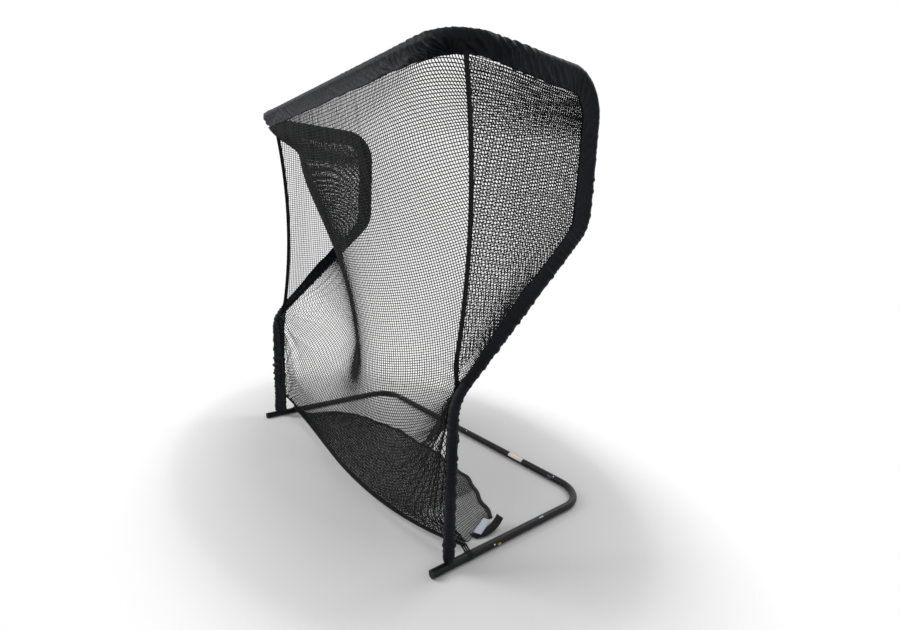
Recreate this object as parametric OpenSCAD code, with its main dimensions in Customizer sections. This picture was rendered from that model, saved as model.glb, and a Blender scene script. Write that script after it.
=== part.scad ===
// Free-standing golf practice net with ball return.
// A push-button tube frame carries a hanging net, two side wings and a floor apron.
// Millimetres, Z up, X across the mouth, Y to the back, origin on the floor under the middle.

/* [Overall] */
// width over the side sleeves
overall_w = 2134; // [1600:1:2800]
// height over the top sleeve
overall_h = 2134; // [1800:1:2600]
// depth of the base, front caps to rear tube
overall_d = 1067; // [960:1:1400]

/* [Tubes] */
// outer diameter of the frame tube
tube_d = 38.1; // [30:0.1:45]
// wall of the frame tube
tube_wall = 1.65; // [1.2:0.05:2.5]
// centre-line radius of every bend
bend_r = 180; // [150:1:220]
// length of a necked-down tube end
neck_l = 70; // [50:1:100]
// clearance around a necked end, on the radius
neck_gap = 0.25; // [0.15:0.05:0.5]
// gap between a tube's shoulder and the end it meets
shoulder_gap = 0.3; // [0.2:0.1:1]
// rim thickness of a front end cap
cap_rim = 3; // [2:0.5:6]
// length of a cap's plug inside the tube
cap_plug = 20; // [12:1:40]

/* [Side profile] */
// upright axis behind the front end of the base
upright_set = 89; // [75:1:140]
// height of the lower kink
kink_low_h = 755; // [650:1:850]
// rear run behind the upright
rear_set = 755; // [640:1:800]
// height of the rear kink
kink_rear_h = 1460; // [1300:1:1550]
// how much further back the rear run stands at the top
rear_lean = 14; // [0:1:40]
// top corner ahead of the upright
top_reach = 68; // [20:1:68]

/* [Slip joints] */
// length of a foot tube from its front end
foot_l = 375; // [300:1:420]
// height of the shoulder on a foot's post
post_h = 62; // [55:1:90]
// straight run between a neck in a rear corner and the bend
rear_joint = 10; // [4:1:200]
// joint on the sloping run, from the lower kink
slope_joint = 330; // [260:1:460]
// joint on the rear run, above the rear kink
rear_run_joint = 210; // [180:1:260]
// joint on the top run, behind the top corner
top_joint = 420; // [360:1:460]
// crossbar joint from the middle, as a share of the half width
bar_joint = 0.62; // [0.4:0.01:0.75]

/* [Snap buttons] */
// diameter of a snap button
button_d = 8; // [6:0.5:10]
// how far a button stands out of the tube
button_out = 4; // [3:0.5:6]
// clearance of a button in its holes, on the radius
button_gap = 0.3; // [0.2:0.05:0.5]
// thickness of a button's leaf spring
leaf_t = 0.8; // [0.5:0.1:1.2]

/* [Sleeves] */
// thickness of the sleeve cloth
cloth_t = 1.2; // [0.8:0.1:2]
// looseness of a sleeve around its tube
sleeve_gap = 0.6; // [0.4:0.1:1.5]
// depth of the crossbar sleeve
bar_sleeve_d = 118; // [80:1:140]
// depth of the side sleeves
side_sleeve_d = 95; // [70:1:110]
// looseness of the gathered upright sleeves over a button
gather_room = 0.6; // [0.4:0.1:4]

/* [Nets] */
// columns of gaps across the main net
net_cols = 16; // [10:1:18]
// rows of gaps down the main net
net_rows = 13; // [8:1:14]
// width of a net strand
strand_w = 12; // [8:1:18]
// thickness of a net strand
strand_t = 2.4; // [1.6:0.1:4]
// how far the main net bellies back
belly = 174; // [100:1:300]
// how far it bags out behind, on both sides of the middle
cheek = 233; // [120:1:300]
// front edge of a wing behind the crossbar, at the top
strap_set = 93; // [70:1:140]
// how far the front edge of a wing bows back
wing_bow = 65; // [20:1:120]
// rise of the main net's front edge over the floor
hem_z = 30; // [22:1:60]
// middle of the front edge behind the uprights
hem_set = 24; // [0:1:100]
// how far the front edge bulges toward one side
hem_lean = 80; // [0:1:120]
// corners of the front edge behind the uprights
corner_set = 112; // [100:1:200]
// rear edge of the apron behind the uprights
apron_l = 605; // [450:1:700]
// clearance between soft pieces and what they hang on
soft_gap = 0.4; // [0.3:0.1:0.8]

/* [Webbing and ties] */
// width of the webbing on net edges
web_w = 25; // [18:1:32]
// thickness of the webbing
web_t = 2; // [1.4:0.1:3]
// thickness of the elastic corner ties
tie_t = 0.8; // [0.6:0.1:1.2]
// width of one turn of a corner tie
tie_w = 8; // [6:0.5:12]

/* [View] */
// sub-part to draw

/* [Hidden] */
$fn = 48;
r = tube_d / 2;
bore_d = tube_d - 2 * tube_wall;
neck_d = bore_d - 2 * neck_gap;
neck_bore = neck_d - 2 * tube_wall;
lift = tie_t + 0.15;
gather_gap = button_out + gather_room;
gather_d = tube_d + 2 * (gather_gap + cloth_t);
hw = (overall_w - gather_d) / 2;
zb = r + lift;
zt = overall_h - r - sleeve_gap - cloth_t;
yf = -overall_d / 2;
yr = overall_d / 2 - r;
yu = yf + upright_set;
K1 = [yu, kink_low_h];
K2 = [yu + rear_set, kink_rear_h];
K3 = [K2[0] + rear_lean, zt];
yc = yu - top_reach;
TC = [yc, zt];
slope = unit2(K2 - K1);
rise = unit2(K3 - K2);
back = [-1, 0];
JA = yf + foot_l;
JC = hw - bend_r - neck_l - rear_joint;
JD = K1 + slope * slope_joint;
JE = K2 + rise * rear_run_joint;
JF = [yc + top_joint, zt];
JG = hw * bar_joint;
bar_q = bar_sleeve_d - r - sleeve_gap - cloth_t;
side_q = side_sleeve_d - r - sleeve_gap - cloth_t;
edge_h = 2.2;
bend_lap = 0.5;
bend_thin = 0.1;

// slip joints on the right half: place on the neck, way the neck points, way the button points
PLUG = neck_l / 2;
JOINTS = [
  ["foot", [hw, JA - PLUG, zb], [0, -1, 0], unit3([0.93, 0, 0.37])],
  ["post", [hw, yu, post_h + PLUG], [0, 0, 1], [0, 1, 0]],
  ["rear_corner", [JC + PLUG, yr, zb], [1, 0, 0], unit3([0, -0.6, 0.8])],
  ["slope", side3(JD + slope * PLUG), side3d(slope), side3d([-slope[1], slope[0]])],
  ["rear_run", side3(JE + rise * PLUG), side3d(rise), side3d([-rise[1], rise[0]])],
  ["top_run", side3(JF + back * PLUG), [0, -1, 0], [0, 0, -1]],
  ["crossbar", [JG - PLUG, yc, zt], [-1, 0, 0], [0, 0, -1]],
];
MID = [
  ["rear_middle", [PLUG, yr, zb], [1, 0, 0], unit3([0, -0.6, 0.8])],
  ["crossbar_middle", [PLUG, yc, zt], [1, 0, 0], [0, 0, -1]],
];

function unit2(v) = v / norm(v);
function unit3(v) = v / norm(v);
function side3(p) = [hw, p[0], p[1]];
function side3d(p) = [0, p[0], p[1]];
function head(v) = atan2(v[1], v[0]);
function mix(a, b, t) = a + (b - a) * t;
function clamp(t) = max(0, min(1, t));
function ease(t) = clamp(t) * clamp(t) * (3 - 2 * clamp(t));
function turn(a, b, c) = let (d = head(c - b) - head(b - a)) d > 180 ? d - 360 : d < -180 ? d + 360 : d;

// places a joint's local frame: X along the neck, Z out of the button hole
module at_joint(j) {
  a = j[2];
  b = j[3];
  c = cross(b, a);
  multmatrix([[a[0], c[0], b[0], j[1][0]], [a[1], c[1], b[1], j[1][1]], [a[2], c[2], b[2], j[1][2]]])
    children();
}

// plane of a side frame
module side_plane(x = hw) translate([x, 0, 0]) rotate([90, 0, 90]) children();

module left_of() mirror([1, 0, 0]) children();

// round rod between two points of a plane
module rod(a, b, d) translate([a[0], a[1], 0]) rotate([0, 0, head(b - a)]) rotate([0, 90, 0])
  cylinder(h = norm(b - a), d = d);

// rod with one bend; a bend comes out of the bender a hair thinner than the straight
module bent_rod(a, b, c, d) {
  w = turn(a, b, c);
  u = unit2(b - a);
  v = unit2(c - b);
  p = bend_in(a, b, c);
  m = p + bend_r * (w > 0 ? [-u[1], u[0]] : [u[1], -u[0]]);
  rod(a, p + u * bend_lap, d);
  translate([m[0], m[1], 0]) rotate([0, 0, w > 0 ? head(p - m) : head(p - m) + w])
    rotate_extrude(angle = abs(w)) translate([bend_r, 0]) circle(d = d - 2 * bend_thin);
  rod(bend_out(a, b, c) - v * bend_lap, c, d);
}

// bent tube with an open end at a and a necked end past c
module bent_tube(a, b, c) {
  u = unit2(b - a);
  v = unit2(c - b);
  difference() {
    union() {
      bent_rod(a, b, c, tube_d);
      rod(c - v, c + v * neck_l, neck_d);
    }
    bent_rod(a - u, b, c - v * 4, bore_d);
    rod(c - v * 5, c + v * (neck_l + 1), neck_bore);
  }
}

// straight tube along X from x0 to x1, with a neck at either end if asked
module bar_tube(x0, x1, neck0, neck1) {
  difference() {
    union() {
      rod([x0, 0], [x1, 0], tube_d);
      if (neck0) rod([x0 - neck_l, 0], [x0 + 1, 0], neck_d);
      if (neck1) rod([x1 - 1, 0], [x1 + neck_l, 0], neck_d);
    }
    rod([x0 + (neck0 ? 4 : -1), 0], [x1 - (neck1 ? 4 : -1), 0], bore_d);
    if (neck0) rod([x0 - neck_l - 1, 0], [x0 + 5, 0], neck_bore);
    if (neck1) rod([x1 - 5, 0], [x1 + neck_l + 1, 0], neck_bore);
  }
}

module holes(list) for (j = list) at_joint(j) cylinder(h = tube_d, d = button_d + 2 * button_gap);

module base_front() color("#17181a") difference() {
  union() {
    translate([hw, 0, zb]) rod([0, yf + cap_rim], [0, JA], tube_d);
    translate([hw, yu, zb]) cylinder(h = post_h - zb, d = tube_d);
    translate([hw, yu, post_h - 1]) cylinder(h = neck_l + 1, d = neck_d);
  }
  translate([hw, 0, zb]) rod([0, yf], [0, JA + 1], bore_d);
  translate([hw, yu, zb + r]) cylinder(h = post_h + neck_l, d = neck_bore);
  holes([JOINTS[0], JOINTS[1]]);
}

module base_corner() color("#17181a") difference() {
  translate([0, 0, zb]) bent_tube([JC + shoulder_gap, yr], [hw, yr], [hw, JA + shoulder_gap]);
  holes([JOINTS[0], JOINTS[2]]);
}

module base_rear_right() color("#17181a") difference() {
  translate([0, yr, zb]) bar_tube(shoulder_gap, JC, false, true);
  holes([JOINTS[2], MID[0]]);
}

module base_rear_left() color("#17181a") difference() {
  translate([0, yr, zb]) bar_tube(-JC, 0, true, true);
  holes([flip(JOINTS[2]), MID[0]]);
}

module upright() color("#17181a") difference() {
  side_plane() bent_tube([yu, post_h + shoulder_gap], K1, JD);
  holes([JOINTS[1], JOINTS[3]]);
}

module rear_side() color("#17181a") difference() {
  side_plane() bent_tube(JD + slope * shoulder_gap, K2, JE);
  holes([JOINTS[3], JOINTS[4]]);
}

module upper_side() color("#17181a") difference() {
  side_plane() bent_tube(JE + rise * shoulder_gap, K3, JF);
  holes([JOINTS[4], JOINTS[5]]);
}

module top_corner() color("#17181a") difference() {
  translate([0, 0, zt]) bent_tube([hw, JF[0] - shoulder_gap], [hw, yc], [JG, yc]);
  holes([JOINTS[5], JOINTS[6]]);
}

module crossbar_right() color("#17181a") difference() {
  translate([0, yc, zt]) bar_tube(shoulder_gap, JG - shoulder_gap, false, false);
  holes([JOINTS[6], MID[1]]);
}

module crossbar_left() color("#17181a") difference() {
  translate([0, yc, zt]) bar_tube(-JG + shoulder_gap, 0, false, true);
  holes([flip(JOINTS[6]), MID[1]]);
}

// moulded plug with a rim that shuts the front of a foot tube
module end_cap() color("#101112") translate([hw, yf, zb]) rotate([-90, 0, 0]) {
  cylinder(h = cap_rim - 0.1, d = tube_d);
  cylinder(h = cap_rim + cap_plug, d = bore_d - 0.5);
}

function flip(j) = [j[0], [-j[1][0], j[1][1], j[1][2]], [-j[2][0], j[2][1], j[2][2]],
  [-j[3][0], j[3][1], j[3][2]]];

// height of a button's flange under the neck's wall
flange_top = sqrt(pow(neck_bore / 2, 2) - pow(button_d / 2 + 1.6, 2)) - 0.3;

// turned snap button with a flange that the neck's wall holds in
module button(j) color("#c9ccd0") at_joint(j) rotate_extrude() polygon([[0, flange_top - 1.5],
  [button_d / 2 + 1.6, flange_top - 1.5], [button_d / 2 + 1.6, flange_top], [button_d / 2, flange_top],
  [button_d / 2, r + button_out - 1.2], [button_d / 2 - 1.2, r + button_out], [0, r + button_out]]);

// bent spring strip inside a neck: one leg under the button, the other on the far wall
module leaf(j) color("#8d9196") at_joint(j) {
  z1 = flange_top - 1.5 - 0.1;
  z0 = -sqrt(pow(neck_bore / 2, 2) - 16) + 0.1;
  translate([0, 4, 0]) rotate([90, 0, 0]) linear_extrude(8) polygon([[5, z1], [-5, z1], [-25, -1],
    [-25, -4], [-5, z0], [12, z0], [12, z0 + leaf_t], [-4.6, z0 + leaf_t], [-24, -3], [-24, -2],
    [-4.6, z1 - leaf_t], [5, z1 - leaf_t]]);
}

module leaf_springs() for (j = JOINTS) {
  leaf(j);
  leaf(flip(j));
  if (j[0] == "foot") for (m = MID) leaf(m);
}

// flat cloth pocket around a tube, its seam toward +X; thin draws it in a hair
module pocket(q, thin = 0) difference() {
  ro = r + sleeve_gap + cloth_t - thin;
  ri = r + sleeve_gap + thin;
  union() {
    circle(r = ro);
    polygon([[0, ro], [q - thin, edge_h - thin], [q - thin, thin - edge_h], [0, -ro]]);
  }
  union() {
    circle(r = ri);
    polygon([[0, ri], [q - 8, edge_h - cloth_t + thin], [q - 8, cloth_t - edge_h - thin], [0, -ri]]);
  }
}

// sweeps a flat section along a straight run, its +X on the left of the run
module sweep(a, b) translate([a[0], a[1], 0]) rotate([0, 0, head(b - a)]) rotate([90, 0, 90])
  linear_extrude(norm(b - a)) children();

// sweeps a flat section round a left-hand bend of the path a, b, c
module sweep_bend(a, b, c) {
  u = unit2(b - a);
  p = bend_in(a, b, c);
  m = p + bend_r * [-u[1], u[0]];
  translate([m[0], m[1], 0]) rotate([0, 0, head(p - m)]) rotate_extrude(angle = turn(a, b, c))
    translate([bend_r, 0]) mirror([1, 0]) children();
}

function bend_in(a, b, c) = b - bend_r * tan(abs(turn(a, b, c)) / 2) * unit2(b - a);
function bend_out(a, b, c) = b + bend_r * tan(abs(turn(a, b, c)) / 2) * unit2(c - b);

slope_start = K1 + slope * (bend_r * tan(turn(K1, K2, K3) / 2) + 30);

module side_sleeve() color("#16171d") side_plane() {
  sweep(slope_start, bend_in(K1, K2, K3) + slope * bend_lap) pocket(side_q);
  sweep_bend(K1, K2, K3) pocket(side_q, bend_thin);
  sweep(bend_out(K1, K2, K3) - rise * bend_lap, bend_in(K2, K3, TC) + rise * bend_lap) pocket(side_q);
  sweep_bend(K2, K3, TC) pocket(side_q, bend_thin);
  sweep(bend_out(K2, K3, TC) - back * bend_lap, [yc + bend_r + 2, zt]) pocket(side_q);
}

module bar_bend() sweep_bend([0, yc], [hw, yc], [hw, 0]) rotate(-90) pocket(bar_q, bend_thin);

module crossbar_sleeve() color("#16171d") translate([0, 0, zt]) {
  sweep([-hw + bend_r - bend_lap, yc], [hw - bend_r + bend_lap, yc]) rotate(-90) pocket(bar_q);
  bar_bend();
  mirror([1, 0, 0]) bar_bend();
}

// round gathered sleeve from the foot to just past the lower kink, drawn in at both hems
module upright_sleeve() color("#16171d") side_plane() difference() {
  bent_rod([yu, post_h + 8], K1, slope_start - slope * 2, gather_d);
  bent_rod([yu, post_h + 20], K1, slope_start - slope * 12, tube_d + 2 * gather_gap);
  bent_rod([yu, post_h + 7], K1, slope_start, tube_d + 2 * sleeve_gap);
}

// inner edge of a side sleeve: place along Y at height z
function slope_edge(q) = K1 + q * [-slope[1], slope[0]];
bend2 = bend_in(K1, K2, K3) + bend_r * [-slope[1], slope[0]];
bend3 = bend_in(K2, K3, TC) + bend_r * [-rise[1], rise[0]];
function on_bend(m, q, z) = m[0] + sqrt(max(0, pow(bend_r - q, 2) - pow(z - m[1], 2)));
function on_slope(q, z) = let (p = slope_edge(q)) p[0] + (z - p[1]) * slope[0] / slope[1];
function on_rise(q, z) = let (p = K2 + q * [-rise[1], rise[0]]) p[0] + (z - p[1]) * rise[0] / rise[1];
function slope_end(q) = bend2[1] - (bend_r - q) * slope[0];
function edge_y(q, z) = z > bend3[1] ? on_bend(bend3, q, z)
  : z > bend2[1] ? on_rise(q, z)
  : z > slope_end(q) ? on_bend(bend2, q, z) : on_slope(q, z);

// middle line of the main net, by share of its height
top_z = zt - bar_q - soft_gap - 0.3;
hem_y = yu + hem_set;
function mid_z(h) = hem_z + (top_z - hem_z) * h;
function mid_y(h) = mix(hem_y, yc, h) + belly * pow(max(0, sin(180 * pow(h, 0.625))), 1.4);

// side line of the main net, by height: on the sleeve's seam at the back, on its flank lower down
side_edge_z = slope_start[1] + side_q * slope[0] + 8;
foot_y = yu + corner_set;
function seam_q(z) = (side_q - 2) * ease((z - kink_rear_h + 220) / 280);
function flank(q) = mix(r + sleeve_gap + cloth_t, edge_h, q / side_q);
function side_y(z) = z > kink_low_h ? edge_y(seam_q(z), z) : mix(foot_y, yu, ease((z - 50) / 200));
function side_x(z) = hw - soft_gap - strand_t / 2 - (seam_q(z) > 0 ? flank(seam_q(z)) : gather_d / 2);

// the main net: u from -1 to 1 across, v from 0 at the crossbar to 1 at the front edge;
// its rows sag toward the middle, and it bags out behind on both sides of the middle
function sag(h) = 318 * pow(max(0, sin(180 * pow(min(1, h / 0.8), 0.6))), 1.5) + 30 * (1 - h);
function bag(s) = 6.4 * s * s * pow(max(0, 1 - s * s), 1.87);
function net_at(u, v) = let (
    h = pow(1 - v, 1.12), s = abs(u), mz = mid_z(h), my = mid_y(h), sz = min(mz + sag(h), top_z),
    t = ease((sz - kink_low_h) / (kink_rear_h + 360 - kink_low_h)),
    p = mix(1.74, 4.05, t) + 25 * pow(clamp((h - 0.9) / 0.1), 3),
    c = cheek * (1 - t) * ease((sz - 300) / 690),
    lean = hem_lean * u * (1 - s * s) * pow(clamp(1 - h / 0.25), 2))
  [u * side_x(sz), my + (side_y(sz) - my) * pow(s, p) + c * bag(s) - lean, mz + (sz - mz) * pow(s, 3.2)];

// front strap of a wing, by height
strap_low = side_edge_z + 25;
strap_dip = bend_r - sqrt(bend_r * bend_r - pow(bend_r - strap_set, 2));
function strap_t(z) = (z - strap_low) / (top_z - strap_low);
function strap_y(z) = let (t = strap_t(z))
  mix(edge_y(side_q, strap_low) - web_w / 2 - 1, yc + strap_set, t) + wing_bow * 4 * t * (1 - t);
function strap_x(z) = hw - strap_dip * pow(max(0, strap_t(z)), 3);

// a wing: u from its front strap to the sleeve, v from top to bottom
wing_low = side_edge_z + 70;
function wing_at(u, v) = let (
    z = mix(mix(top_z, zt - side_q - soft_gap, clamp(u * 4 - 1)), wing_low, v),
    x = mix(strap_x(min(z, top_z)), hw, clamp(u * 4)))
  [x, mix(strap_y(min(z, top_z)) + web_w / 2 + soft_gap, edge_y(side_q + soft_gap, z) - 0.1, u), z];

// the apron on the floor: u across, v from the front edge back
apron_z = 4;
apron_hw = 0.837 * hw;
under_hem = strand_t + web_t + 3 * soft_gap;
function apron_back(x) = yu + apron_l - 205 * pow(abs(x) / apron_hw, 2.6) + 9 * sin(x * 0.9)
  + 5 * sin(x * 2.3 + 40);
function apron_at(u, v) = let (f = net_at(0.97 * u, 1), x = apron_hw * u,
    b = [x, apron_back(x) - web_w / 2 - soft_gap, apron_z])
  [mix(f[0], b[0], v), mix(f[1], b[1], v), mix(f[2] - under_hem, apron_z, ease(v / 0.34))];

// picks a sheet by number: main net, wing, apron
function sheet_at(n, u, v) = n == 0 ? net_at(u, v) : n == 1 ? wing_at(u, v) : apron_at(u, v);
function facing(n, u, v) = let (d = 0.004, a = sheet_at(n, u + d, v) - sheet_at(n, u - d, v),
    b = sheet_at(n, u, min(1, v + d)) - sheet_at(n, u, max(0, v - d)))
  unit3(cross(a, b));

// strand edges along one direction: two per strand, one at each border
function bands(n, half, lo, hi) = [for (i = [0:n]) for (s = [-1, 1])
  let (c = lo + (hi - lo) * i / n) clamp3(c + s * half, lo, hi, i, n, s, half)];
function clamp3(x, lo, hi, i, n, s, half) = i == 0 ? (s < 0 ? lo : lo + 2 * half)
  : i == n ? (s > 0 ? hi : hi - 2 * half) : x;

// perforated sheet: every odd square of the grid is a gap
module net_sheet(n, us, vs, t) {
  a = len(us);
  b = len(vs);
  pts = [for (s = [0, 1]) for (v = vs) for (u = us)
    sheet_at(n, u, v) + facing(n, u, v) * (s - 0.5) * t];
  function at(s, j, i) = s * a * b + j * a + i;
  function full(j, i) = i >= 0 && j >= 0 && i < a - 1 && j < b - 1 && !(i % 2 == 1 && j % 2 == 1);
  top = [for (j = [0:b - 2]) for (i = [0:a - 2]) if (full(j, i)) for (k = [0, 1])
    k == 0 ? [at(1, j, i), at(1, j, i + 1), at(1, j + 1, i + 1)]
           : [at(1, j, i), at(1, j + 1, i + 1), at(1, j + 1, i)]];
  low = [for (j = [0:b - 2]) for (i = [0:a - 2]) if (full(j, i)) for (k = [0, 1])
    k == 0 ? [at(0, j, i), at(0, j + 1, i + 1), at(0, j, i + 1)]
           : [at(0, j, i), at(0, j + 1, i), at(0, j + 1, i + 1)]];
  across = [for (j = [0:b - 1]) for (i = [0:a - 2]) if (full(j, i) != full(j - 1, i)) for (k = [0, 1])
    let (p = full(j, i) ? i : i + 1, q = full(j, i) ? i + 1 : i)
    k == 0 ? [at(1, j, q), at(1, j, p), at(0, j, p)] : [at(1, j, q), at(0, j, p), at(0, j, q)]];
  down = [for (j = [0:b - 2]) for (i = [0:a - 1]) if (full(j, i) != full(j, i - 1)) for (k = [0, 1])
    let (p = full(j, i) ? j : j + 1, q = full(j, i) ? j + 1 : j)
    k == 0 ? [at(1, p, i), at(1, q, i), at(0, q, i)] : [at(1, p, i), at(0, q, i), at(0, p, i)]];
  polyhedron(pts, [for (f = concat(top, low, across, down)) [f[2], f[1], f[0]]]);
}

// closer strands toward the sides, where the net bends most
function spread(list) = [for (u = list) u * (1.35 - 0.35 * u * u)];

module main_net() color("#1c1d1f")
  net_sheet(0, net_us, bands(net_rows, strand_w / 4600, 0, 1), strand_t);

wing_vs = bands(8, strand_w / 2400, 0, 1);
module wing_net() color("#1c1d1f") net_sheet(1, bands(4, 0.012, 0, 1), wing_vs, strand_t);

apron_us = bands(12, strand_w / 2 / hw, -1, 1);
module apron_net() color("#1c1d1f") net_sheet(2, apron_us, bands(3, 0.014, 0, 1), strand_t);

// flat strip along a line of points, wide along one given direction at each point
module strip(line, wide, thick, w, t) {
  n = len(line);
  pts = [for (i = [0:n - 1]) for (k = [[-1, -1], [1, -1], [1, 1], [-1, 1]])
    line[i] + wide[i] * k[0] * w / 2 + thick[i] * k[1] * t / 2];
  walls = [for (i = [0:n - 2]) for (k = [0:3]) for (m = [0, 1])
    let (a = i * 4 + k, b = i * 4 + (k + 1) % 4)
    m == 0 ? [a, b, b + 4] : [a, b + 4, a + 4]];
  ends = [[0, 2, 1], [0, 3, 2], [4 * n - 4, 4 * n - 3, 4 * n - 2], [4 * n - 4, 4 * n - 2, 4 * n - 1]];
  polyhedron(pts, [for (f = concat(walls, ends)) [f[2], f[1], f[0]]]);
}

module wing_strap() color("#121316") {
  zs = concat([strap_low], [for (v = wing_vs) mix(wing_low, top_z, v)]);
  strip([for (z = zs) [strap_x(z), strap_y(z), z]], [for (z = zs) [0, 1, 0]], [for (z = zs) [-1, 0, 0]],
    web_w, web_t);
}

net_us = spread(bands(net_cols, strand_w / 2 / hw, -1, 1));
module front_hem() color("#121316")
  strip([for (u = net_us) net_at(u, 1) - [0, 0, strand_t / 2 + web_t / 2 + soft_gap]],
    [for (u = net_us) [0, 1, 0]], [for (u = net_us) [0, 0, 1]], web_w, web_t);

module apron_hem() color("#121316") {
  xs = apron_hw * apron_us;
  strip([for (x = xs) [x, apron_back(x), apron_z]], [for (x = xs) [0, 1, 0]], [for (x = xs) [0, 0, 1]],
    web_w, web_t);
}

// elastic band wound three times round a foot tube and up to the net's corner
tie_r = r + lift - tie_t;
tie_top = net_at(0.975, 1)[2] - strand_t / 2 - web_t - 2 * soft_gap - zb;
tie_in = hw - net_at(1, 1)[0] + 2;
module corner_tie() color("#0e0f11") for (i = [-1:1])
  translate([hw, foot_y + i * (tie_w + 3) + tie_w / 2, zb]) rotate([90, 0, 0]) linear_extrude(tie_w)
    difference() {
      union() {
        circle(r = tie_r + tie_t);
        polygon([[-tie_r - tie_t, 0], [tie_r + tie_t, 0], [-tie_in, tie_top], [-tie_in - 14, tie_top]]);
      }
      circle(r = tie_r);
      polygon([[-tie_r, 0], [tie_r, 0], [-tie_in - 1.2, tie_top - tie_t], [-tie_in - 12.8, tie_top - tie_t]]);
    }

// webbing tail left loose beside the apron's right rear corner
module loose_strap() color("#121316") {
  ts = [for (i = [0:10]) i / 10];
  strip([for (t = ts) [apron_hw + 60 + 80 * t * (1 - t), mix(yu + 231, apron_back(apron_hw) + 4, t),
      apron_z + 3.5 + 38 * t * t]],
    [for (t = ts) [1, 0, 0]], [for (t = ts) [0, 0, 1]], 38, 1.8);
}

// blank sewn label beside it
module care_tag() color("#e6e7e4") {
  ts = [for (i = [0:6]) i / 6];
  strip([for (t = ts) [apron_hw + mix(52, -8, t), mix(yu + 252, apron_back(apron_hw) - 34, t), apron_z + 1.9]],
    [for (t = ts) unit3([0.9, 0.43, 0])], [for (t = ts) [0, 0, 1]], 40, 0.6);
}

left_of() base_front();  // base_front_left
base_front();  // base_front_right
left_of() base_corner();  // base_corner_left
base_corner();  // base_corner_right
base_rear_left();
base_rear_right();
left_of() upright();  // upright_left
upright();  // upright_right
left_of() rear_side();  // rear_side_left
rear_side();  // rear_side_right
left_of() upper_side();  // upper_side_left
upper_side();  // upper_side_right
left_of() top_corner();  // top_corner_left
top_corner();  // top_corner_right
crossbar_left();
crossbar_right();
left_of() end_cap();  // end_cap_left
end_cap();  // end_cap_right
button(flip(JOINTS[0]));  // button_foot_left
button(JOINTS[0]);  // button_foot_right
button(flip(JOINTS[1]));  // button_post_left
button(JOINTS[1]);  // button_post_right
button(flip(JOINTS[2]));  // button_rear_corner_left
button(JOINTS[2]);  // button_rear_corner_right
button(flip(JOINTS[3]));  // button_slope_left
button(JOINTS[3]);  // button_slope_right
button(flip(JOINTS[4]));  // button_rear_run_left
button(JOINTS[4]);  // button_rear_run_right
button(flip(JOINTS[5]));  // button_top_run_left
button(JOINTS[5]);  // button_top_run_right
button(flip(JOINTS[6]));  // button_crossbar_left
button(JOINTS[6]);  // button_crossbar_right
button(MID[0]);  // button_rear_middle
button(MID[1]);  // button_crossbar_middle
leaf_springs();
crossbar_sleeve();
left_of() side_sleeve();  // side_sleeve_left
side_sleeve();  // side_sleeve_right
left_of() upright_sleeve();  // upright_sleeve_left
upright_sleeve();  // upright_sleeve_right
main_net();
left_of() wing_net();  // wing_net_left
wing_net();  // wing_net_right
apron_net();
left_of() wing_strap();  // wing_strap_left
wing_strap();  // wing_strap_right
front_hem();
apron_hem();
left_of() corner_tie();  // corner_tie_left
corner_tie();  // corner_tie_right
loose_strap();
care_tag();
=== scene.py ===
import math

import bpy
import numpy as np
from mathutils import Matrix, Vector


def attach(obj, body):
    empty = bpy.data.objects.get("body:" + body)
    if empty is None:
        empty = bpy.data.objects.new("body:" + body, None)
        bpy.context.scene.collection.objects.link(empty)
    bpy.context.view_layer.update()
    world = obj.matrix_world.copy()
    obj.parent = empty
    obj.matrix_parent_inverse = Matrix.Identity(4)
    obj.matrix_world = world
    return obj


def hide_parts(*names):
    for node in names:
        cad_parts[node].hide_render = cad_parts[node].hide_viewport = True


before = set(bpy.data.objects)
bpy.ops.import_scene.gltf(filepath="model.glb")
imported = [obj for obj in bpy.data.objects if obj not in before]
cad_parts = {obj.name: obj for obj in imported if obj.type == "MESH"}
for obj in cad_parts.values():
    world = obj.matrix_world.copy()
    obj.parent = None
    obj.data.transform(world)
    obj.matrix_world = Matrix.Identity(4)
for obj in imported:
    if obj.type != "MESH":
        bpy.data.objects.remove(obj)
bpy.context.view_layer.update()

scene = bpy.context.scene
scene.view_settings.view_transform = "Standard"

# Camera
# A wide lens close by, right of the mouth and at chest height, tilted a little down and to one side.
eye = Vector((2.471, -1.6145, 1.426))
yaw, pitch, roll = (math.radians(a) for a in (51.54, 9.97, 1.86))
ahead = Vector((-math.sin(yaw) * math.cos(pitch), math.cos(yaw) * math.cos(pitch), -math.sin(pitch)))
level = Vector((math.cos(yaw), math.sin(yaw), 0))
rise = level.cross(ahead)
right_hand = level * math.cos(roll) + rise * math.sin(roll)
head_up = rise * math.cos(roll) - level * math.sin(roll)
camera = bpy.data.objects.new("camera", bpy.data.cameras.new("camera"))
scene.collection.objects.link(camera)
camera.matrix_world = Matrix((
    (right_hand.x, head_up.x, -ahead.x, eye.x),
    (right_hand.y, head_up.y, -ahead.y, eye.y),
    (right_hand.z, head_up.z, -ahead.z, eye.z),
    (0, 0, 0, 1)))
camera.data.sensor_width, camera.data.lens = 36, 19.43
camera.data.clip_start, camera.data.clip_end = 0.05, 200
scene.camera = camera


# Studio floor and light
# A matt painted floor in white, with a painted grey shadow where the net stands that runs out into white, under large
# soft lamps: a key from the front left, a weak fill from the right and a lamp behind.
def linear(code):
    """An sRGB hex colour as linear RGBA."""
    parts = [int(code[i:i + 2], 16) / 255 for i in (1, 3, 5)]
    return [c / 12.92 if c <= 0.04045 else ((c + 0.055) / 1.055) ** 2.4 for c in parts] + [1.0]


def give(tree, node, inputs):
    """Sets the inputs of a node; an input given as a socket is linked."""
    for key, value in inputs.items():
        if isinstance(value, bpy.types.NodeSocket):
            tree.links.new(value, node.inputs[key])
        else:
            node.inputs[key].default_value = value


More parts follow.
